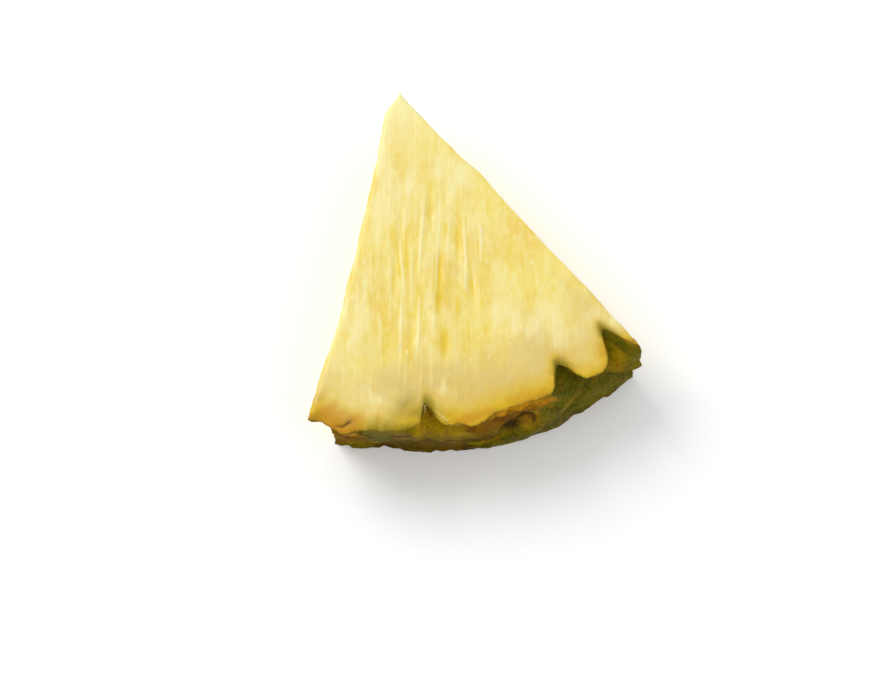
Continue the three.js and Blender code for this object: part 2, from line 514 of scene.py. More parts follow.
def line_distance(right, down, start, end):
    """How far a place is from a straight line between two places."""
    run = end[0] - start[0]
    rise = end[1] - start[1]
    share = np.clip(((right - start[0]) * run + (down - start[1]) * rise) / (run**2 + rise**2), 0, 1)
    return np.hypot(right - start[0] - share * run, down - start[1] - share * rise)


def crack_depth(x, y):
    right, down = seen_from_camera(x, y)
    wobbly = down + CRACK_WOBBLE * np.sin(4 * right)
    away = np.full(right.shape, np.inf)
    for start, end in zip(CRACK, CRACK[1:]):
        away = np.minimum(away, line_distance(right, wobbly, start, end))
    opening = smoothstep(CRACK[0][0] - 0.6, CRACK[-1][0] - 0.6, right)
    return opening * (0.8 * bell(away, CRACK_HALF_WIDTH) + 0.2 * bell(away, 4 * CRACK_HALF_WIDTH))


print("strands:", len(every_strand()))

# %% [markdown]
# ## Bending the box into the wedge
#
# One function takes a point of the box, as shares across, from point to rind and through, to
# its place in the wedge. The top gets its slow waves, its strands and hollows, and a fine
# grain. The cut sides get the small ripples of a blade that went through soft fruit. The rind
# gets crags, wrinkles, dry scars, and a ring with a sunken pit beside it, which the colours
# darken as painted shade.

# %% Small unevenness from Blender's own noise
FACE_WAVE = 0.22
DETAIL_FADE = 1.0
EDGE_ROUNDING = 0.32
EDGE_REACH = 0.4
EDGE_CROWDING = 0.5
POINT_PINCH = 0.9
PINCH_REACH = 3.5
PINCH_AT = 0.6
CUT_WAVE = 0.22
CUT_RIPPLE = 0.07
CUT_FIBRES = 0.10
GRAIN_HEIGHT = 0.06


def roughness_at(points, size, octaves, seed):
    """Noise at each point, from about -1 to 1, whose bumps are about size millimetres wide."""
    shift = Vector((13.7 * seed, 4.1 * seed, 9.3 * seed))
    return np.array([noise.fractal(Vector(p) / size + shift, 1.0, 2.0, octaves) for p in points])


# %% The rind's own small relief
CRAG_HEIGHT = 0.5
LUMP_HEIGHT = 0.16
WRINKLE_HEIGHT = 0.09
RING_ALONG = 7.5
RING_HEIGHT = 8.6
RING_SQUASH = 0.65
RING_TILT = 0.35
RING_SPREAD = 2.2
GROOVE_RADIUS = 1.5
GROOVE_DEPTH = 0.35
PIT_ALONG = 4.9
PIT_HEIGHT = 7.8
PIT_DEPTH = 0.9
PIT_HALF_WIDTH = 1.9
PIT_HALF_HEIGHT = 3.3
SCAR_HALF_WIDTH = 2.6
SCAR_HALF_HEIGHT = 2.0
SCAR_UP = 0.3
SCAR_RIM = 0.35
SCAR_DEPTH = 0.7
CREASES = [
    # from along and height, to along and height, half width, depth
    (-20.2, 15.5, -19.8, 5, 0.45, 0.35),
    (-5.7, 5.4, -1.9, 3.4, 0.45, 0.30),
    (-1.9, 3.4, 2.1, 4, 0.45, 0.30),
    (2.1, 4, 4, 6.5, 0.40, 0.20),
    (12.4, 12, 14.4, 5, 0.30, 0.15),
    (-26.5, 7, -21, 6, 0.35, 0.25),
]
RIND_TINTS = {
    "brown": [
        # along, height, half width, half height, strength
        (1, 12, 4.6, 6, 1),
        (5.5, 13, 4, 6.5, 1),
        (9.4, 14.6, 2.6, 4, 0.9),
        (-23.4, 9, 3.6, 7.5, 1),
        (-13, 3.5, 5, 3, 0.4),
        (-27.5, 2, 3, 5, 0.7),
        (20.5, 12, 3.2, 5, 0.8),
        (26, 4, 4, 3, 0.6),
    ],
    "orange": [
        (8.8, 15.6, 4.8, 2.4, 1),
        (10.6, 14, 3, 2.6, 0.8),
        (3.6, 16.2, 3.6, 1.7, 1),
        (-2.2, 16.4, 2, 1.3, 0.6),
        (-22.5, 14.6, 2.2, 2.2, 0.9),
        (6.6, 9.8, 0.9, 1, 0.6),
    ],
    "light_moss": [
        (-5, 12.5, 6, 4.6, 1),
        (-8.8, 15.5, 3.5, 3.5, 1),
        (8.4, 9, 2.6, 3, 1),
        (24, 14, 5, 3, 0.7),
    ],
    "green": [
        (-17.3, 11, 3, 6.2, 1),
        (27.5, 10, 4, 8, 0.9),
        (19.5, 4, 6, 6, 1),
    ],
    "shade": [
        (-13.2, 13.4, 3.4, 1.7, 0.9),
        (-1.4, 4.6, 4, 2, 0.9),
    ],
}
print("patches of colour on the rind:", sum(len(patches) for patches in RIND_TINTS.values()))

# %% Creases, patches, and the ring with its pit


def crease_relief(along, height):
    creases = np.zeros(along.shape)
    place = wander(along, height)
    for from_along, from_height, to_along, to_height, half_width, depth in CREASES:
        away = line_distance(*place, (from_along, from_height), (to_along, to_height))
        creases = np.maximum(creases, depth * bell(away, half_width))
    return creases


def rind_tint(name, along, height):
    along, height = wander(along, height)
    amount = np.zeros(along.shape)
    for at_along, at_height, half_width, half_height, strength in RIND_TINTS[name]:
        patch = np.hypot((along - at_along) / half_width, (height - at_height) / half_height)
        amount = np.maximum(amount, strength * (1 - smoothstep(0.4, 1.3, patch)))
    return amount


def from_ring(along, height):
    return np.hypot(along - RING_ALONG, RING_SQUASH * (height - RING_HEIGHT))


def ring_relief(along, height):
    out = from_ring(along, height)
    tilt = -RING_TILT * (height - RING_HEIGHT) * bell(out, RING_SPREAD)
    groove = GROOVE_DEPTH * bell(out - GROOVE_RADIUS, 0.4)
    pit = PIT_DEPTH * pit_mask(along, height)
    return tilt - groove - pit


def pit_mask(along, height):
    away = np.hypot((along - PIT_ALONG) / PIT_HALF_WIDTH, (height - PIT_HEIGHT) / PIT_HALF_HEIGHT)
    return 1 - smoothstep(0.3, 1.4, away)


def scar_mask(along, height):
    """1 at the dry middle of each eye on the right and 0 away from it."""
    across, up, _, _ = nearest_eye(*wander(along, height))
    away = np.hypot(across / SCAR_HALF_WIDTH, (up - SCAR_UP) / SCAR_HALF_HEIGHT)
    return bell(away, 1) * smoothstep(CALM_UNTIL, CALM_UNTIL + 2, along)


def rind_detail(along, height):
    on_rind = np.stack([along, height, np.zeros(along.shape)], axis=1)
    brown = rind_tint("brown", along, height)
    crags = roughness_at(on_rind, 2.6, 4, seed=2)
    lumps = roughness_at(on_rind, 4.5, 2, seed=4)
    wrinkles = roughness_at(on_rind * (1, 0.25, 1), 0.9, 2, seed=3)
    detail = CRAG_HEIGHT * brown * crags + (1 - brown) * (LUMP_HEIGHT * lumps + WRINKLE_HEIGHT * wrinkles)
    scars = scar_mask(along, height)
    detail += SCAR_RIM * 4 * scars * (1 - scars) - SCAR_DEPTH * scars**3
    return detail + ring_relief(along, height) - crease_relief(along, height)


# %% Ripples of the side cuts, and the relief of the shown face


def side_ripple(flat, across, radius):
    """How far each point moves to the right, for the small ripples of the two side cuts."""
    at_side = (across == 0) | (across == 1)
    points = flat[at_side] * (1, 1, 0.6)
    fibres = np.stack([0.08 * radius, np.sign(across - 0.5), flat[:, 2]], axis=1)[at_side]
    ripple = np.zeros(len(flat))
    ripple[at_side] = CUT_WAVE * roughness_at(points, 5.0, 3, seed=5)
    ripple[at_side] += CUT_RIPPLE * roughness_at(points, 1.2, 2, seed=6)
    ripple[at_side] += CUT_FIBRES * roughness_at(fibres, 0.9, 2, seed=9)
    return np.where(across < 0.5, -1, 1) * ripple


def face_relief(flat, x, y, to_edges, at_face):
    """The height of the waved face, and what stands on it and is sunk in it."""
    top = THICKNESS + FACE_WAVE * np.sin(0.13 * x + 1) * np.cos(0.11 * y)
    top = top - EDGE_ROUNDING * bell(to_edges, EDGE_REACH)
    parts = {name: np.zeros(len(flat)) for name in ("strands", "hollows", "grain", "cracks")}
    parts["strands"][at_face] = strand_relief(x[at_face], y[at_face])
    parts["hollows"][at_face] = hollow_relief(x[at_face], y[at_face])
    parts["grain"][at_face] = GRAIN_HEIGHT * roughness_at(flat[at_face], 1.4, 3, seed=8)
    parts["cracks"][at_face] = crack_depth(x[at_face], y[at_face])
    raised = parts["strands"] - parts["hollows"] + parts["grain"]
    parts["relief"] = raised - CRACK_DEPTH * parts["cracks"]
    return top, parts


# %% Every point of the box goes to its place in the wedge


def column_shares(across, along):
    share = np.minimum(1, along / WIDEST_AT_TIP)
    halvings = np.ceil(np.log2(1 / np.maximum(share, FEWEST_ACROSS / CELLS_ACROSS)))
    cells = CELLS_ACROSS / 2**halvings
    return np.round(across * cells) / cells


def bend_into_wedge(box):
    along_box = np.round((0.5 - box[:, 1]) * CELLS_ALONG) / CELLS_ALONG
    through_box = np.round((box[:, 2] + 0.5) * CELLS_THROUGH) / CELLS_THROUGH
    across = column_shares(np.round((box[:, 0] + 0.5) * CELLS_ACROSS) / CELLS_ACROSS, along_box)
    through = through_box - EDGE_CROWDING * np.sin(2 * math.pi * through_box) / (2 * math.pi)

    rim = mix(left_angle(RADIUS, through), right_angle(RADIUS, through), across)
    height = through * THICKNESS
    to_rind = rind_radius(rim * RADIUS, height)
    outward = 1 - (1 - along_box) ** CROWDING
    radius = mix(TIP_RADIUS, to_rind, outward)
    left = left_angle(radius, through)
    right = right_angle(radius, through)
    pinch = mix(POINT_PINCH, 1, smoothstep(0, PINCH_REACH, radius))
    angle = mix(left, right, PINCH_AT + pinch * (across - PINCH_AT))
    x = radius * np.sin(angle)
    y = -radius * np.cos(angle)
    to_sides = np.minimum(across, 1 - across) * radius * (right - left)
    to_edges = np.minimum(to_sides, to_rind - radius)
    flat = np.stack([x, y, height], axis=1)

    at_rind = along_box == 1
    out = np.zeros(len(box))
    out[at_rind] = rind_detail(rim[at_rind] * RADIUS, height[at_rind])
    out *= 1 - smoothstep(THICKNESS - DETAIL_FADE, THICKNESS, height)
    x += out * np.sin(angle)
    y -= out * np.cos(angle)

    sideways = side_ripple(flat, across, radius)
    x += sideways * np.cos(angle)
    y += sideways * np.sin(angle)

    top, measures = face_relief(flat, x, y, to_edges, through_box == 1)
    measures["rim"] = rim * RADIUS
    measures["height"] = height
    measures["radius"] = radius
    measures["under_rind"] = to_rind - radius
    measures["through"] = through
    return np.stack([x, y, through * top + measures["relief"]], axis=1), measures


shaped, measures = bend_into_wedge(read_points(body))
solid_size = np.array(solid_high - solid_low) / MM
fit = float(min(1, *(solid_size / (shaped.max(axis=0) - shaped.min(axis=0)))[:2]))
shaped[:, :2] *= fit
shaped_low = shaped.min(axis=0)
shaped_high = shaped.max(axis=0)
solid_middle = np.array((solid_low + solid_high) / 2) / MM
centring = solid_middle - (shaped_low + shaped_high) / 2
centring[2] = -shaped_low[2]
write_points(body, (shaped + centring) * MM)
print("wedge, mm:", [round(float(side), 2) for side in shaped_high - shaped_low])

# %% [markdown]
# ## What the colours follow
#
# The colours need to know where a point lies: how deep under the rind, how far from the core,
# whether on a strand or in a hollow, and where on the rind. These measures are written to the
# mesh as attributes, which the materials read, so the colour follows the surface exactly.
# Patches with soft edges, listed by their place, say where the flesh and the rind turn colour.

# %% Soft-edged places on the face that take a colour of their own
TINTS = {
    # right, down, half width, half height, strength
    "bundle": [
        (5, 33, 14, 21, 1),
    ],
    "gold": [
        (7.6, 35.6, 2.4, 7, 0.7),
        (-0.4, 14.8, 2.6, 4.2, 0.3),
        (5.4, 21.4, 1.2, 2.4, 0.4),
        (-5, 45.4, 3.6, 3.4, 0.3),
        (22, 51.6, 4.4, 2.8, 0.7),
        (9.2, 43.6, 3.4, 4.4, 0.4),
        (14.9, 47.2, 2.6, 2.2, 0.4),
        (7.2, 44.6, 1.8, 2.4, 0.5),
        (12.8, 56.6, 9.5, 5.8, 0.8),
        (-14.6, 55.6, 3, 4.4, 1),
        (7.6, 56.8, 3, 3.6, 0.6),
        (27, 50, 4, 4.5, 0.4),
    ],
    "moss": [
        (1.8, 57.2, 3.8, 4.8, 0.95),
        (7.8, 58, 2, 1.8, 1),
        (-15.2, 55, 2.2, 3.6, 0.35),
    ],
    "ochre": [
        (-10.6, 58, 5.2, 3.4, 1),
        (-8.6, 60.2, 3, 2, 1),
        (12.6, 57.6, 5.4, 1.8, 0.6),
        (22, 54.6, 5.5, 3, 0.5),
        (36, 45.5, 6, 2, 0.6),
    ],
    "olive": [
        (-2.2, 59.4, 7.2, 3.2, 0.6),
        (4, 55.5, 4, 4.5, 0.8),
        (-14, 58, 2.4, 2, 0.5),
        (27.2, 48.5, 2.2, 3.6, 0.9),
        (34.5, 42.5, 4, 2, 0.9),
        (40, 44.5, 3, 1.6, 0.9),
    ],
    "pale": [
        (0, 4, 4, 7, 0.8),
        (-3, 16, 2.6, 14, 0.7),
        (-2.6, 9.4, 1.8, 5, 0.6),
        (8.2, 15, 3.8, 7.5, 0.9),
        (7.4, 22, 1.8, 3.6, 0.6),
        (0.9, 41, 1.8, 5, 0.6),
        (5.6, 36.8, 1.2, 2.2, 0.7),
        (22.6, 41.6, 3.6, 4.6, 0.6),
        (-7, 38, 2.8, 14, 0.6),
        (-8.4, 42.6, 1.4, 8, 0.8),
        (-9, 50, 3, 6, 0.5),
        (-6, 54, 3.6, 5, 0.4),
        (-6, 56.8, 2.6, 2, 0.5),
        (-4.9, 54, 1.2, 5.5, 0.6),
        (1.5, 17, 3.4, 6.5, 0.8),
        (17, 40.5, 4.5, 4.5, 0.6),
        (26.6, 42.5, 4.5, 4.5, 0.6),
        (34, 40.5, 5, 2.5, 0.7),
        (7.6, 53.4, 1.1, 3.4, 0.6),
    ],
    # painted shade: the lower band of the face, darkened towards the rind
    "painted_shade_band": [
        (8, 52, 22, 6.5, 1),
        (24, 47, 10, 6, 0.8),
    ],
}


def tint_at(name, right, down):
    right, down = wander(right, down)
    amount = np.zeros(right.shape)
    for at_right, at_down, half_width, half_height, strength in TINTS[name]:
        away = np.hypot((right - at_right) / half_width, (down - at_down) / half_height)
        amount = np.maximum(amount, strength * (1 - smoothstep(0.1, 1.3, away)))
    return amount


FULL_STRAND = 0.12
FULL_HOLLOW = 0.3
FULL_CREASE = 0.45
face_place = seen_from_camera(shaped[:, 0], shaped[:, 1])
near_face = smoothstep(0.7, 1.0, measures["through"])
masks = {tint: near_face * tint_at(tint, *face_place) for tint in TINTS}
masks["under_rind"] = measures["under_rind"]
masks["from_core"] = measures["radius"]
masks["strand"] = measures["strands"] / FULL_STRAND
masks["hollow"] = measures["hollows"] / FULL_HOLLOW
masks["burnt"] = measures["cracks"]
print("attributes of the flesh:", len(masks))

# %% Places on the rind that take a colour of their own
rind_place = (measures["rim"], measures["height"])
along, height = rind_place
eye_across, eye_up, _, to_crevice = nearest_eye(*rind_place)
for tint in RIND_TINTS:
    masks[tint] = rind_tint(tint, *rind_place)
on_scale = below_line(*rind_place, SCALE_EDGE, 1.2)
on_underside = below_line(*rind_place, UNDERSIDE_EDGE, UNDERSIDE_SOFTNESS)
in_pit = pit_mask(*rind_place)
masks["green"] = np.maximum(masks["green"], on_scale)
masks["brown"] = np.maximum(masks["brown"] * (1 - on_scale) * (1 - on_underside), scar_mask(*rind_place))
# Painted shade on the underside, on the listed patches and in the pit.
masks["shade"] = np.maximum.reduce([masks["shade"], 0.8 * on_underside, in_pit])
# Painted shade: a shadow crescent on the upper right of the ring's groove, and darkening in the creases
# and the pit.
round_ring = bell(from_ring(*rind_place) - GROOVE_RADIUS, 0.45)
ring_shadow_side = smoothstep(-2.5, 1.0, along - RING_ALONG + height - RING_HEIGHT)
in_crease = crease_relief(*rind_place) / FULL_CREASE
masks["painted_crease_shade"] = np.maximum.reduce([round_ring * ring_shadow_side, in_crease, 0.85 * in_pit**1.5])
to_margin = above_line(*rind_place, SCALE_EDGE) + 30 * (1 - smoothstep(4, 9, along))
bract = bract_mask(eye_across, eye_up) * smoothstep(CALM_UNTIL - 2, CALM_UNTIL + 1, along)
masks["margin"] = np.maximum(bell(to_margin + 0.1, 0.35), bell(4 * bract * (1 - bract) - 1, 0.5))
masks["bract"] = np.maximum(on_scale, bract)
# Painted shade along the crevices between the eyes.
masks["crevice"] = bell(to_crevice, 1.1)
for name, mask in masks.items():
    write_attribute(body, name, mask)
merge_points(body)
print("points after merging:", len(body.data.vertices))

# %% [markdown]
# The fibres of the flesh run outwards from the core on all of the cuts. So that a noise can be
# drawn out along them, each corner of a face keeps its place as it is counted by the fibres:
# across them, along them, and a number that is different on each cut.

# %% Places as the fibres count them
FLAT_CUT_NUMBER = 20
SIDE_CUT_NUMBER = 60


def corner_places(piece):
    """Where each face corner lies: its point's place in millimetres, and its face's direction."""
    mesh = piece.data
    corner_point = np.zeros(len(mesh.loops), dtype=np.int32)
    mesh.loops.foreach_get("vertex_index", corner_point)
    sizes = np.zeros(len(mesh.polygons), dtype=np.int32)
    mesh.polygons.foreach_get("loop_total", sizes)
    normals = np.zeros(len(mesh.polygons) * 3)
    mesh.polygons.foreach_get("normal", normals)
    place = read_points(piece)[corner_point] / MM - centring
    return place, np.repeat(normals.reshape(-1, 3), sizes, axis=0)


def fibre_places(piece):
    place, direction = corner_places(piece)
    right, down = seen_from_camera(place[:, 0], place[:, 1])
    outward = np.hypot(place[:, 0], place[:, 1])
    flat_cut = np.abs(direction[:, 2]) > 0.6
    across = np.where(flat_cut, right, place[:, 2])
    along = np.where(flat_cut, down, outward)
    flat_number = FLAT_CUT_NUMBER * np.sign(direction[:, 2])
    side_number = SIDE_CUT_NUMBER + FLAT_CUT_NUMBER * np.sign(direction[:, 0])
    return np.stack([across, along, np.where(flat_cut, flat_number, side_number)], axis=1)


counted = fibre_places(body)
fibre_place = body.data.attributes.new("fibre_place", "FLOAT_VECTOR", "CORNER")
fibre_place.data.foreach_set("vector", counted.astype(np.float32).ravel())
on_side_cut = counted[:, 2] > SIDE_CUT_NUMBER / 2
write_attribute(body, "side_cut", on_side_cut, domain="CORNER")
print("corners on the side cuts:", int(on_side_cut.sum()))

# %% [markdown]
# ## Shader sums written as plain sums
#
# A material here is a small calculation, so it is written as one. The class below wraps a
# socket, and adding or multiplying two of them adds the Math node that does it. One method
# makes every other kind of node: first its settings, then what goes into its sockets.

# %% A socket that can be added and multiplied
MIX_SHARE, MIX_LOW, MIX_HIGH = 0, 6, 7
MIX_RESULT = 2


class Value:
    def __init__(self, maker, socket):
        self.maker = maker
        self.socket = socket

    def maths(self, operation, *values):
        return self.maker.node("ShaderNodeMath", {"operation": operation}, dict(enumerate(values)))

    def __add__(self, other):
        return self.maths("ADD", self, other)

    def __radd__(self, other):
        return self.maths("ADD", other, self)

    def __sub__(self, other):
        return self.maths("SUBTRACT", self, other)

    def __rsub__(self, other):
        return self.maths("SUBTRACT", other, self)

    def __mul__(self, other):
        return self.maths("MULTIPLY", self, other)

    def __rmul__(self, other):
        return self.maths("MULTIPLY", other, self)

    def __truediv__(self, other):
        return self.maths("DIVIDE", self, other)

    def __rtruediv__(self, other):
        return self.maths("DIVIDE", other, self)

    def step(self, low, high):
        """0 below low, 1 above high, and a soft rise between them."""
        settings = {"interpolation_type": "SMOOTHSTEP"}
        inputs = {"Value": self, "From Min": low, "From Max": high}
        return self.maker.node("ShaderNodeMapRange", settings, inputs)


# %% The nodes of one material


class Maker:
    """Makes the nodes of one material."""

    def __init__(self, name):
        self.material = bpy.data.materials.new(name)
        self.material.use_nodes = True
        self.tree = self.material.node_tree
        self.tree.nodes.clear()

    def node(self, kind, settings=None, inputs=None, output=0):
        made = self.tree.nodes.new(kind)
        for name, value in (settings or {}).items():
            setattr(made, name, value)
        for name, value in (inputs or {}).items():
            self.feed(made.inputs[name], value)
        return Value(self, made.outputs[output])

    def feed(self, socket, value):
        if isinstance(value, Value):
            self.tree.links.new(value.socket, socket)
        else:
            socket.default_value = value

    def attribute(self, name):
        return self.node("ShaderNodeAttribute", {"attribute_name": name}, output="Fac")

    def fibre_place(self):
        """Across the fibres and along them, in millimetres."""
        return self.node("ShaderNodeAttribute", {"attribute_name": "fibre_place"}, output="Vector")

    def place(self):
        """Object coordinates in millimetres."""
        metres = self.node("ShaderNodeTexCoord", output="Object")
        return self.vector("SCALE", metres, Scale=1 / MM)

    def vector(self, operation, *vectors, **named):
        inputs = {**dict(enumerate(vectors)), **named}
        return self.node("ShaderNodeVectorMath", {"operation": operation}, inputs)

    def noise(self, place, size, detail=3, roughness=0.55, stretch=(1, 1, 1)):
        scale = [part / size for part in stretch]
        scaled = self.vector("MULTIPLY", place, scale)
        inputs = {"Vector": scaled, "Scale": 1, "Detail": detail, "Roughness": roughness}
        return self.node("ShaderNodeTexNoise", {"noise_dimensions": "3D"}, inputs)

    def colour_mix(self, share, low, high):
        """A Mix node has sockets of every kind, so those for colours are found by number."""
        inputs = {MIX_SHARE: share, MIX_LOW: low, MIX_HIGH: high}
        settings = {"data_type": "RGBA", "clamp_factor": True}
        return self.node("ShaderNodeMix", settings, inputs, output=MIX_RESULT)

    def layers(self, colour, *coats):
        """Colours laid over one another, each with its own share."""
        for share, coat in coats:
            colour = self.colour_mix(share, colour, coat)
        return colour

    def bump(self, height, distance, strength=1.0, under=None):
        inputs = {"Height": height, "Distance": distance * MM, "Strength": strength}
        if under is not None:
            inputs["Normal"] = under
        return self.node("ShaderNodeBump", {}, inputs)

    def surface(self, **inputs):
        named = {name.replace("_", " "): value for name, value in inputs.items()}
        return self.node("ShaderNodeBsdfPrincipled", {"subsurface_method": "RANDOM_WALK"}, named)

    def finish(self, shader):
        end = self.tree.nodes.new("ShaderNodeOutputMaterial")
        self.tree.links.new(shader.socket, end.inputs["Surface"])
        return self.material


def seen_colour(red, green, blue):
    """A colour as it looks on a screen, 0 to 255, as the light values that a shader needs."""
    def light(part):
        part = part / 255
        return part / 12.92 if part <= 0.04045 else ((part + 0.055) / 1.055) ** 2.4

    return (light(red), light(green), light(blue), 1)


# %% [markdown]
# ## Flesh
#
# The flesh is pale lemon near the point and along the left edge, deeper yellow among the
# fibres, and cream in a band under the rind, where it turns through gold or olive into the
# thin dark line of the skin. The cream is darkened towards the rind as painted shade, and a
# few pale grains are partly painted glints. It is moist and lets light in a little way, so it
# has subsurface scattering and a patchy wet coat. Strands are paler than what is between them.

# %% The flesh's finish
LEMON = seen_colour(242, 223, 126)
PALE = seen_colour(246, 235, 170)
DEEP = seen_colour(238, 211, 108)
# A cream that is darkened as painted shade.
CREAM_AND_SHADE = seen_colour(222, 196, 120)
WHITE_STRAND = seen_colour(247, 236, 176)
GAP_YELLOW = seen_colour(234, 202, 30)
GOLD = seen_colour(218, 180, 12)
OLIVE = seen_colour(144, 126, 0)
MOSS = seen_colour(152, 130, 8)
OCHRE = seen_colour(198, 142, 0)
BURNT = seen_colour(100, 56, 0)
GRANULE_AND_GLINT = seen_colour(252, 238, 188)
SKIN = seen_colour(112, 88, 8)


def grains_and_painted_glints(make, fibres):
    """Sparse pale grains, partly painted glints: the middles of a few of the cells of a fine pattern."""
    uneven = make.noise(fibres, 0.4, detail=3)
    settings = {"feature": "F1"}
    inputs = {"Vector": make.vector("MULTIPLY", fibres, (1, 0.4, 1)), "Scale": 1.1}
    to_middle = make.node("ShaderNodeTexVoronoi", settings, inputs)
    own_number = make.node("ShaderNodeTexVoronoi", settings, inputs, output="Color")
    chosen = make.node("ShaderNodeSeparateColor", {}, {"Color": own_number})
    return (1 - (to_middle + 0.9 * (uneven - 0.5)).step(0.0, 0.24)) * chosen.step(0.6, 0.8)


# %% The flesh's colour, from the core to the skin


def flesh_colour(make, place, fibres):
    under_rind = make.attribute("under_rind")
    bundle = make.attribute("bundle")
    olive = make.attribute("olive")
    ochre = make.attribute("ochre")
    side = make.attribute("side_cut")
    clouds = make.noise(place, 7, detail=2)
    drift = make.noise(fibres, 2.4, detail=3, stretch=(1, 0.4, 1))
    grain = make.noise(fibres, 0.9, detail=4, roughness=0.6, stretch=(1, 0.6, 1))
    streaks = make.noise(fibres, 0.8, detail=2, stretch=(1, 0.05, 1))
    gaps = make.noise(fibres, 1.5, detail=2, stretch=(1, 0.14, 1))
    wobble = under_rind + 1.6 * (clouds - 0.5) + 1.6 * (grain - 0.5)
    unevenly = 1.2 * (drift - 0.5)
    fibrous = (0.3 + 0.7 * bundle + 0.3 * side) * under_rind.step(6, 14)

    pale = make.attribute("pale") * (1 + 1.5 * unevenly + 2.0 * (streaks - 0.5))
    body_of_flesh = make.layers(
        make.colour_mix(clouds.step(0.35, 0.65), LEMON, DEEP),
        ((0.4 + 0.2 * bundle) * drift.step(0.44, 0.64), PALE),
        (0.6 * (1 - make.attribute("from_core").step(4, 14)), PALE),
        (0.65 * fibrous * gaps.step(0.48, 0.66), GAP_YELLOW),
        (0.22 * fibrous * streaks.step(0.5, 0.7), WHITE_STRAND),
        (0.3 * grain.step(0.44, 0.68), PALE),
        # cream under the rind, darkened as painted shade
        (0.5 * (1 - wobble.step(5, 15)), CREAM_AND_SHADE),
        ((make.attribute("painted_shade_band") + unevenly).step(0.1, 1.3), CREAM_AND_SHADE),
        (pale.step(0, 1.1), PALE),
        # pale grains, partly painted glints
        (0.9 * grains_and_painted_glints(make, fibres) * under_rind.step(3, 12), GRANULE_AND_GLINT),
        (0.85 * make.attribute("hollow"), GAP_YELLOW),
        (0.8 * make.attribute("strand"), WHITE_STRAND),
        (0.6 * make.attribute("gold"), GOLD),
        (0.75 * make.attribute("moss"), MOSS),
    )
    band = make.colour_mix(ochre.step(0.1, 0.8), GOLD, OCHRE)
    band = make.colour_mix((olive + 0.6 * side).step(0.1, 0.8), band, OLIVE)
    depth = wobble / (1 + 0.5 * olive + 1.6 * ochre)
    skin = (1 - under_rind.step(0.05, 0.3)) + side * (1 - wobble.step(0.6, 1.6))
    return make.layers(
        body_of_flesh,
        (0.35 * (1 - depth.step(2, 5)), GOLD),
        (0.85 * (1 - depth.step(0.3, 3)), band),
        (0.8 * olive * (1 - wobble.step(0.2, 1.4)), OLIVE),
        (0.6 * ochre * (1 - wobble.step(0.5, 2.5)), OCHRE),
        (0.9 * make.attribute("burnt"), BURNT),
        (0.7 * skin, SKIN),
    )


# %% The flesh's relief and wetness


def flesh_relief(make, fibres):
    fibrous = 0.3 + 0.7 * make.attribute("bundle") + 0.4 * make.attribute("side_cut")
    streaks = fibrous * make.noise(fibres, 0.5, detail=3, stretch=(1, 0.06, 1))
    grain = make.noise(fibres, 0.8, detail=4, roughness=0.6, stretch=(1, 0.5, 1))
    cells = make.node(
        "ShaderNodeTexVoronoi",
        {"feature": "SMOOTH_F1"},
        {"Vector": make.vector("MULTIPLY", fibres, (1, 0.5, 1)), "Scale": 1.1, "Smoothness": 0.6},
    )
    relief = make.bump(streaks, 0.10, 0.5)
    relief = make.bump(grain, 0.16, 0.5, under=relief)
    return make.bump(cells, 0.12, 0.3, under=relief)


def flesh_material():
    make = Maker("moist pineapple flesh")
    place = make.place()
    fibres = make.fibre_place()
    moist = make.noise(fibres, 1.3, detail=2, stretch=(1, 0.5, 1)).step(0.5, 0.68)
    shader = make.surface(
        Base_Color=flesh_colour(make, place, fibres),
        Roughness=0.52 - 0.2 * moist,
        Coat_Weight=0.08 + 0.35 * moist,
        Coat_Roughness=0.16,
        Coat_IOR=1.35,
        Subsurface_Weight=0.35,
        Subsurface_Radius=(1.0, 0.7, 0.25),
        Subsurface_Scale=1.4 * MM,
        IOR=1.35,
        Specular_IOR_Level=0.35,
        Normal=flesh_relief(make, fibres),
    )
    return make.finish(shader)


flesh = flesh_material()
print("nodes in the flesh's material:", len(flesh.node_tree.nodes))

# %% [markdown]
# ## Rind
#
# The bracts are smooth and dark olive green, with fine lines. Round the hollows and towards
# the edges the rind has dried to brown with orange flecks. The crevices, creases and pit are
# darkened as painted shade, with a painted shadow beside the ring. Its underside lies in shade
# and is painted darker still.

# %% The rind's finish
RIND_OLIVE = seen_colour(118, 98, 0)
RIND_MOSS = seen_colour(140, 118, 4)
LIGHT_MOSS = seen_colour(168, 134, 8)
DARK_GREEN = seen_colour(72, 72, 0)
LEAF_GREEN = seen_colour(102, 96, 4)
YELLOW_GREEN = seen_colour(134, 124, 20)
BARK = seen_colour(134, 92, 10)
RUSSET = seen_colour(112, 70, 8)
PAINTED_SHADE_UMBER = seen_colour(98, 72, 6)
DARK_BARK = seen_colour(66, 42, 4)
TAN = seen_colour(158, 124, 40)
ORANGE = seen_colour(206, 144, 10)
# Painted shade for the creases and the pit, and the ring's painted shadow.
RECESS_PAINTED_SHADE = seen_colour(40, 26, 4)


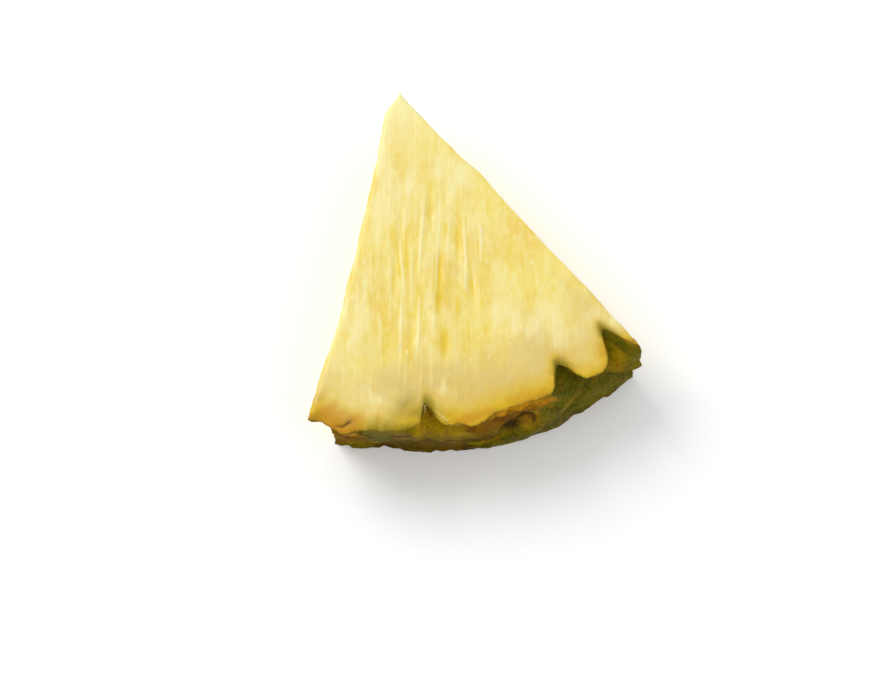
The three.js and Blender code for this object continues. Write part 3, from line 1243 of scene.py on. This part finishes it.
def rind_colour(make, place):
    clouds = make.noise(place, 4.5, detail=4, roughness=0.6)
    patches = make.noise(place, 1.7, detail=4, roughness=0.6)
    flecks = make.noise(place, 0.6, detail=4, roughness=0.65)
    lines = make.noise(place, 0.35, detail=2, stretch=(1, 1, 0.12))
    specks = make.noise(place, 0.3, detail=2)
    unevenly = 1.6 * (clouds - 0.5) + 1.6 * (patches - 0.5) + 0.6 * (flecks - 0.5)
    green = make.colour_mix(clouds.step(0.4, 0.6), LEAF_GREEN, DARK_GREEN)
    green = make.colour_mix(0.3 * lines.step(0.45, 0.65), green, YELLOW_GREEN)
    bark = make.colour_mix(clouds.step(0.42, 0.6), BARK, RUSSET)
    return make.layers(
        make.colour_mix(clouds.step(0.4, 0.6), RIND_OLIVE, RIND_MOSS),
        ((make.attribute("green") + unevenly).step(0.1, 0.9), green),
        ((make.attribute("light_moss") + unevenly).step(0.1, 1.1), LIGHT_MOSS),
        ((make.attribute("brown") + unevenly).step(0.1, 0.9), bark),
        ((make.attribute("orange") + unevenly).step(0.3, 1.3), ORANGE),
        (0.5 * patches.step(0.53, 0.66), BARK),
        (0.45 * flecks.step(0.5, 0.68), DARK_BARK),
        (0.6 * specks.step(0.64, 0.72), TAN),
        (0.55 * make.attribute("margin") * flecks.step(0.3, 0.6), TAN),
        # painted shade on the underside and in the pit
        (
            0.85 * (make.attribute("shade") + 0.5 * unevenly).step(0.1, 1.0),
            make.colour_mix(patches.step(0.4, 0.6), DARK_BARK, PAINTED_SHADE_UMBER),
        ),
        # painted shade along the crevices
        (0.15 * make.attribute("crevice"), DARK_BARK),
        # painted shade in the creases and the pit, and the ring's painted shadow
        (0.9 * make.attribute("painted_crease_shade"), RECESS_PAINTED_SHADE),
    )


def rind_relief(make, place):
    flecks = make.noise(place, 0.6, detail=4, roughness=0.65)
    lines = make.noise(place, 0.35, detail=2, stretch=(1, 1, 0.12))
    patches = make.noise(place, 1.7, detail=4, roughness=0.6)
    relief = make.bump(flecks, 0.3, 0.6)
    relief = make.bump((0.35 + 0.65 * make.attribute("brown")) * patches, 0.8, 0.6, under=relief)
    return make.bump(make.attribute("bract") * lines, 0.12, 0.5, under=relief)


def rind_material():
    make = Maker("pineapple rind")
    place = make.place()
    shader = make.surface(
        Base_Color=rind_colour(make, place),
        Roughness=0.6 + 0.2 * make.attribute("brown"),
        IOR=1.25,
        Specular_IOR_Level=0.12,
        Normal=rind_relief(make, place),
    )
    return make.finish(shader)


rind = rind_material()
print("nodes in the rind's material:", len(rind.node_tree.nodes))

# %% The flesh goes on the cuts, and the rind on its own side
body.data.materials.append(flesh)
body.data.materials.append(rind)
ON_THE_RIND = 1e-4
depth_read = np.zeros(len(body.data.vertices))
body.data.attributes["under_rind"].data.foreach_get("value", depth_read)
for face in body.data.polygons:
    face.use_smooth = True
    face.material_index = int(max(depth_read[corner] for corner in face.vertices) < ON_THE_RIND)
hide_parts(NODE)
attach(body, "root")
print("rind faces:", sum(face.material_index for face in body.data.polygons))

# %% [markdown]
# ## What the knife left behind
#
# The notch holds a curl of flesh and skin that was nearly cut off, and beside it a few pale
# dry scraps. A curl is a strip with a bend, so it starts as a grid, its points are moved
# along a line on the face, and a solidify modifier gives it thickness. The scraps are small
# round meshes with a dented surface. Loose ends of fibre lie on the face, each one a grid
# that is rolled up into a thread. A thread's foot is sunk in the face, and its end lifts.

# %% From places on the face back to the mesh's own places


def on_face(right, down, height):
    """Metres in the model, from millimetres as they are seen on the face."""
    x = right * np.cos(VIEW_TURN) + down * np.sin(VIEW_TURN)
    y = right * np.sin(VIEW_TURN) - down * np.cos(VIEW_TURN)
    return (np.stack([x * fit, y * fit, height + np.zeros(x.shape)], axis=1) + centring) * MM


def finish_piece(piece, name, material):
    piece.name = name
    merge_points(piece, reach=1e-7, turn_outwards=True)
    bpy.ops.object.shade_smooth()
    piece.data.materials.clear()
    piece.data.materials.append(material)
    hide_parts(NODE)
    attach(piece, "root")
    return piece


# %% The curl along the right side of the notch
CURL_LINE = [
    # right, down, height of its upper edge, width of the strip
    (4.5, 55.4, 16.7, 0.25),
    (5.2, 56.3, 16.9, 0.35),
    (6, 57.3, 17.1, 0.7),
    (6.6, 58.3, 17.1, 1),
    (7.2, 58.8, 17.1, 1.1),
    (8.1, 58.6, 17, 0.8),
    (9.2, 58.5, 16.9, 0.3),
]
CURL_STEPS = 48
CURL_BANDS = 8
CURL_BEND = math.radians(150)
CURL_THICKNESS = 0.22
CURL_RIPPLE = 0.06


def curl_strip():
    select_only()
    bpy.ops.mesh.primitive_grid_add(x_subdivisions=CURL_STEPS, y_subdivisions=CURL_BANDS, size=1)
    strip = bpy.context.object
    flat = read_points(strip)
    share = (flat[:, 0] + 0.5) * (len(CURL_LINE) - 1)
    stops = np.arange(len(CURL_LINE))
    right, down, top, width = (np.interp(share, stops, parts) for parts in zip(*CURL_LINE))
    bend = (flat[:, 1] + 0.5) * CURL_BEND
    reach = width / CURL_BEND
    ripple = CURL_RIPPLE * np.sin(2.3 * share + 3 * flat[:, 1])
    out = reach * (1 - np.cos(bend)) + ripple
    height = top - reach + reach * np.sin(bend) - 0.25 * (0.5 - flat[:, 1])
    write_points(strip, on_face(right + 0.8 * out, down - 0.6 * out, height))
    write_attribute(strip, "rim", flat[:, 1] + 0.5)
    write_attribute(strip, "along", flat[:, 0] + 0.5)
    thicken = strip.modifiers.new("thickness", "SOLIDIFY")
    thicken.thickness = CURL_THICKNESS * MM
    thicken.offset = 0
    bpy.ops.object.modifier_apply(modifier="thickness")
    return strip


CURL_PALE = seen_colour(240, 222, 134)
CURL_YELLOW = seen_colour(206, 176, 58)
CURL_OLIVE = seen_colour(150, 128, 30)


def curl_material():
    make = Maker("curl of flesh and skin")
    place = make.place()
    flecks = make.noise(place, 0.5, detail=3)
    rim = make.attribute("rim") + 0.8 * (flecks - 0.5)
    colour = make.colour_mix(rim.step(0.2, 0.6), CURL_OLIVE, CURL_YELLOW)
    far_end = make.attribute("along").step(0.35, 0.6)
    shader = make.surface(
        Base_Color=make.colour_mix(far_end * rim.step(0.6, 0.9), colour, CURL_PALE),
        Roughness=0.45,
        Subsurface_Weight=0.3,
        Subsurface_Radius=(1.0, 0.7, 0.25),
        Subsurface_Scale=0.8 * MM,
        Normal=make.bump(flecks, 0.1, 0.5),
    )
    return make.finish(shader)


curl = finish_piece(curl_strip(), "notch_curl", curl_material())
print("curl faces:", len(curl.data.polygons))

# %% The dry scraps at the top of the notch
SCRAPS = [
    # right, down, height, half length, half width
    (3.5, 55.5, 16.7, 0.50, 0.34),
    (4, 56.2, 16.5, 0.50, 0.28),
    (4.4, 55.4, 16.8, 0.30, 0.18),
]
SCRAP_DENT = 0.5
FIRST_SCRAP_SEED = 20


def scrap(at_right, at_down, height, half_length, half_width, seed):
    select_only()
    bpy.ops.mesh.primitive_ico_sphere_add(subdivisions=4, radius=1)
    lump = bpy.context.object
    ball = read_points(lump)
    ball *= (1 + SCRAP_DENT * roughness_at(ball, 0.9, 3, seed))[:, None]
    right = at_right + half_width * ball[:, 0]
    down = at_down + half_length * ball[:, 1]
    write_points(lump, on_face(right, down, height + half_width * ball[:, 2]))
    return lump


SCRAP_PALE = seen_colour(206, 186, 112)
SCRAP_BROWN = seen_colour(124, 96, 28)


def scrap_material():
    make = Maker("dry scraps")
    specks = make.noise(make.place(), 0.35, detail=3)
    colour = make.colour_mix(specks.step(0.42, 0.6), SCRAP_PALE, SCRAP_BROWN)
    return make.finish(make.surface(Base_Color=colour, Roughness=0.7))


dry = scrap_material()
scraps = []
for number, sizes in enumerate(SCRAPS):
    lump = scrap(*sizes, seed=FIRST_SCRAP_SEED + number)
    scraps.append(finish_piece(lump, f"notch_scrap_{number + 1}", dry))
print("scraps:", len(scraps))

# %% Loose ends of fibre on the face
LOOSE_ENDS = [
    # right, down, length, turn in degrees from straight down, how high the end lifts
    (2.3, 45.8, 2.6, -1, 0.10),
    (13.4, 23.8, 2.4, 2, 0.08),
    (10.6, 33, 3, 2, 0.08),
    (-0.2, 44.4, 2.2, -3, 0.08),
]
THREAD_RADIUS = 0.06
THREAD_SINK = 0.02
THREAD_STEPS = 16
THREAD_SIDES = 8
THREAD_BEND = 0.15


def face_height(right, down):
    """How high the wedge's own face is at each place, found by looking straight down at it."""
    heights = []
    for start in on_face(right, down, THICKNESS + 1):
        _, hit, _, _ = body.ray_cast(Vector(start), Vector((0, 0, -1)))
        heights.append(hit.z / MM - centring[2])
    return np.array(heights)


def loose_end(at_right, at_down, length, degrees, lift, number):
    select_only()
    bpy.ops.mesh.primitive_grid_add(x_subdivisions=THREAD_STEPS, y_subdivisions=THREAD_SIDES, size=1)
    thread = bpy.context.object
    flat = read_points(thread)
    share = flat[:, 0] + 0.5
    round_angle = 2 * math.pi * flat[:, 1]
    radius = THREAD_RADIUS * np.sqrt(np.maximum(0, np.sin(math.pi * share)))
    turn = math.radians(degrees) + THREAD_BEND * (share - 0.5) * (-1) ** number
    sideways = radius * np.cos(round_angle)
    right = at_right + length * share * np.sin(turn)
    down = at_down + length * share * np.cos(turn)
    height = face_height(right, down) - THREAD_SINK + lift * share**2 + radius * np.sin(round_angle)
    write_points(thread, on_face(right + sideways * np.cos(turn), down - sideways * np.sin(turn), height))
    return thread


FIBRE_WHITE = seen_colour(255, 250, 226)


def fibre_material():
    make = Maker("pale fibre")
    colour = make.colour_mix(make.noise(make.place(), 0.6), WHITE_STRAND, FIBRE_WHITE)
    return make.finish(make.surface(Base_Color=colour, Roughness=0.6))


fibre = fibre_material()
threads = []
for number, sizes in enumerate(LOOSE_ENDS):
    thread = loose_end(*sizes, number)
    threads.append(finish_piece(thread, f"loose_fibre_{number + 1}", fibre))
print("loose ends:", len(threads))

# %% [markdown]
# ## Floor, light and camera
#
# The wedge lies with its shown face up, so the camera looks down on it, nearly square to the
# face, and turned a little to its left. A long lens keeps the cuts as straight as they look.
# A white floor and a large soft light behind the point leave the rind in gentle shade.

# %% Floor
FLOOR_SIZE = 6.0
select_only()
bpy.ops.mesh.primitive_plane_add(size=FLOOR_SIZE, location=(0, 0, 0))
floor = bpy.context.object
floor.name = "floor"
floor_maker = Maker("white floor")
floor.data.materials.append(
    floor_maker.finish(
        floor_maker.surface(
            Base_Color=(0.93, 0.93, 0.93, 1),
            Roughness=0.9,
            IOR=1.2,
            Emission_Color=(1, 1, 1, 1),
            Emission_Strength=0.12,
        )
    )
)
print("floor, m:", FLOOR_SIZE)

# %% Light
SKY_STRENGTH = 0.66
KEY_WATTS = 5.0
FILL_WATTS = 0.4


def soft_light(name, place, size, watts):
    select_only()
    bpy.ops.object.light_add(type="AREA", location=place)
    light = bpy.context.object
    light.name = name
    light.data.shape = "DISK"
    light.data.size = size
    light.data.energy = watts
    light.rotation_euler = (-Vector(place)).to_track_quat("-Z", "Y").to_euler()
    return light


soft_light("key", (-0.40, 0.55, 0.72), 0.6, KEY_WATTS)
soft_light("fill", (0.5, -0.4, 0.6), 0.6, FILL_WATTS)
world = bpy.data.worlds.new("studio")
world.use_nodes = True
world.node_tree.nodes["Background"].inputs["Color"].default_value = (1, 1, 1, 1)
world.node_tree.nodes["Background"].inputs["Strength"].default_value = SKY_STRENGTH
bpy.context.scene.world = world
bpy.context.scene.view_settings.view_transform = "Standard"
print("light, W:", KEY_WATTS, "and", FILL_WATTS)

# %% Camera
IMAGE_WIDTH = 873
SENSOR = 36.0
LENS = 300.0
PIXELS_PER_MM = 5.99
ELEVATION = math.radians(73)
AIM_RIGHT = 5.85
AIM_DOWN = 44.2

back = Vector((
    math.sin(VIEW_TURN) * math.cos(ELEVATION),
    -math.cos(VIEW_TURN) * math.cos(ELEVATION),
    math.sin(ELEVATION),
))
aim_x = AIM_RIGHT * math.cos(VIEW_TURN) + AIM_DOWN * math.sin(VIEW_TURN)
aim_y = AIM_RIGHT * math.sin(VIEW_TURN) - AIM_DOWN * math.cos(VIEW_TURN)
aim = Vector((centring[0] + aim_x, centring[1] + aim_y, THICKNESS)) * MM
camera_distance = LENS * IMAGE_WIDTH / (SENSOR * PIXELS_PER_MM) * MM
bpy.ops.object.camera_add(location=aim + back * camera_distance)
camera = bpy.context.object
camera.data.lens = LENS
camera.data.sensor_width = SENSOR
camera.rotation_euler = (-back).to_track_quat("-Z", "Y").to_euler()
bpy.context.scene.camera = camera
print("camera distance, m:", round(camera_distance, 3))
